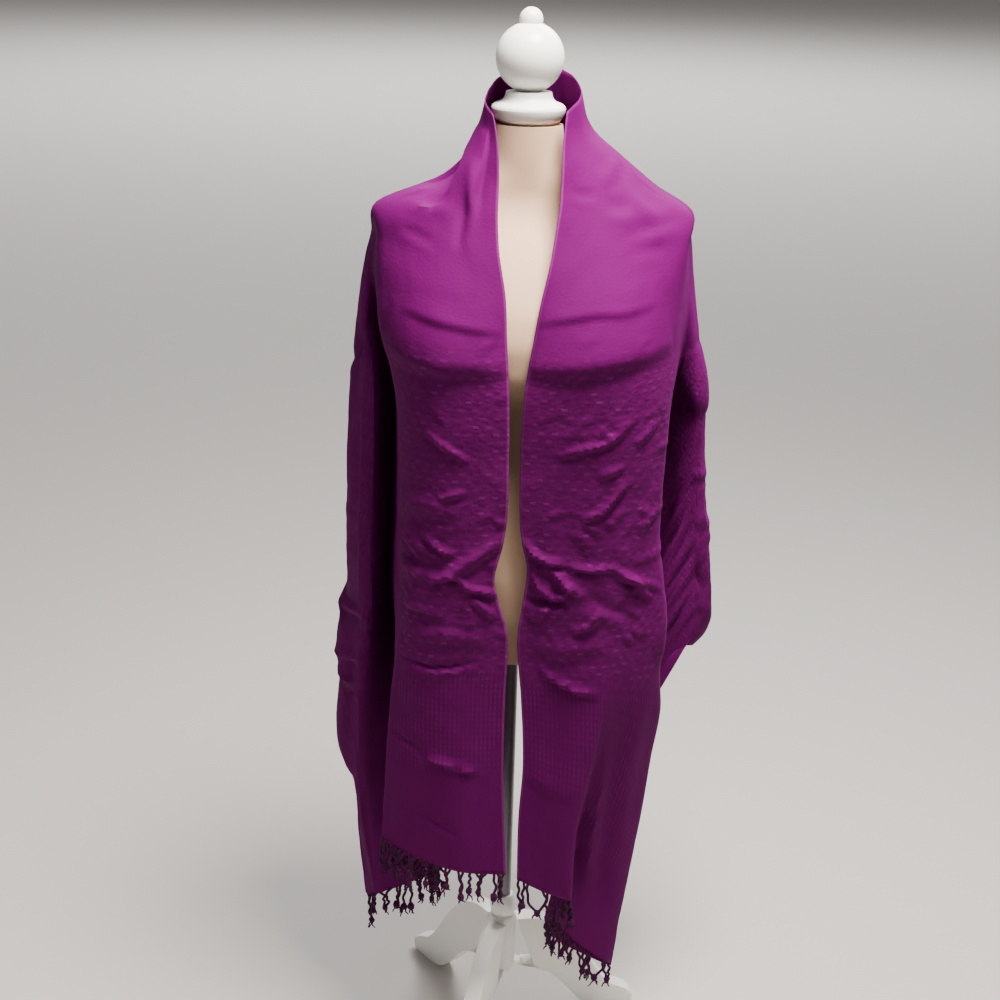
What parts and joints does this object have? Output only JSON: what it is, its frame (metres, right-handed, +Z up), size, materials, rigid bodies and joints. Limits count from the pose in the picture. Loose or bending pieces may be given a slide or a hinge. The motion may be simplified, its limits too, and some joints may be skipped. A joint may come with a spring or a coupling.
{
  "type": "pashmina scarf on dress form",
  "caption": "Fringed purple pashmina draped open over the shoulders of a limbless dress form, on a turned pole and a legged wooden stand.",
  "frame": {"origin": "on the floor, under the middle of the bounding box (the pole's axis stands 14.5 mm to -X and 14.8 mm to +Y of it)", "axes": "+Z up along the pole; -Y is the front, where the drape is open; +X is to the right of someone who looks at the front"},
  "size_m": [0.4872, 0.3349, 1.3595],
  "materials": {
    "cloth": "soft purple wool and viscose twill with small raised dashes",
    "fringe": "twisted and knotted yarn of the same purple",
    "form_cover": "stretched off-white jersey cover",
    "painted_wood": "turned and sawn wood in white satin paint",
    "pole": "steel tube in grey enamel"
  },
  "bodies": {
    "root": {"scarf_collar": "cloth", "scarf_back": "cloth", "scarf_shoulder_left": "cloth", "scarf_shoulder_right": "cloth", "scarf_front_left": "cloth", "scarf_front_right": "cloth", "scarf_side_left": "cloth", "scarf_side_right": "cloth", "scarf_fall_left": "cloth", "scarf_fall_right": "cloth", "fringe_front_left": "fringe", "fringe_inner_left": "fringe", "fringe_outer_left": "fringe", "fringe_front_right": "fringe", "fringe_inner_right": "fringe", "fringe_outer_right": "fringe", "form_torso": "form_cover", "neck_cap": "painted_wood", "finial": "painted_wood", "stand_pole": "pole", "stand_hub": "painted_wood", "stand_leg_1": "painted_wood", "stand_leg_2": "painted_wood", "stand_leg_3": "painted_wood"}
  },
  "joints": []
}
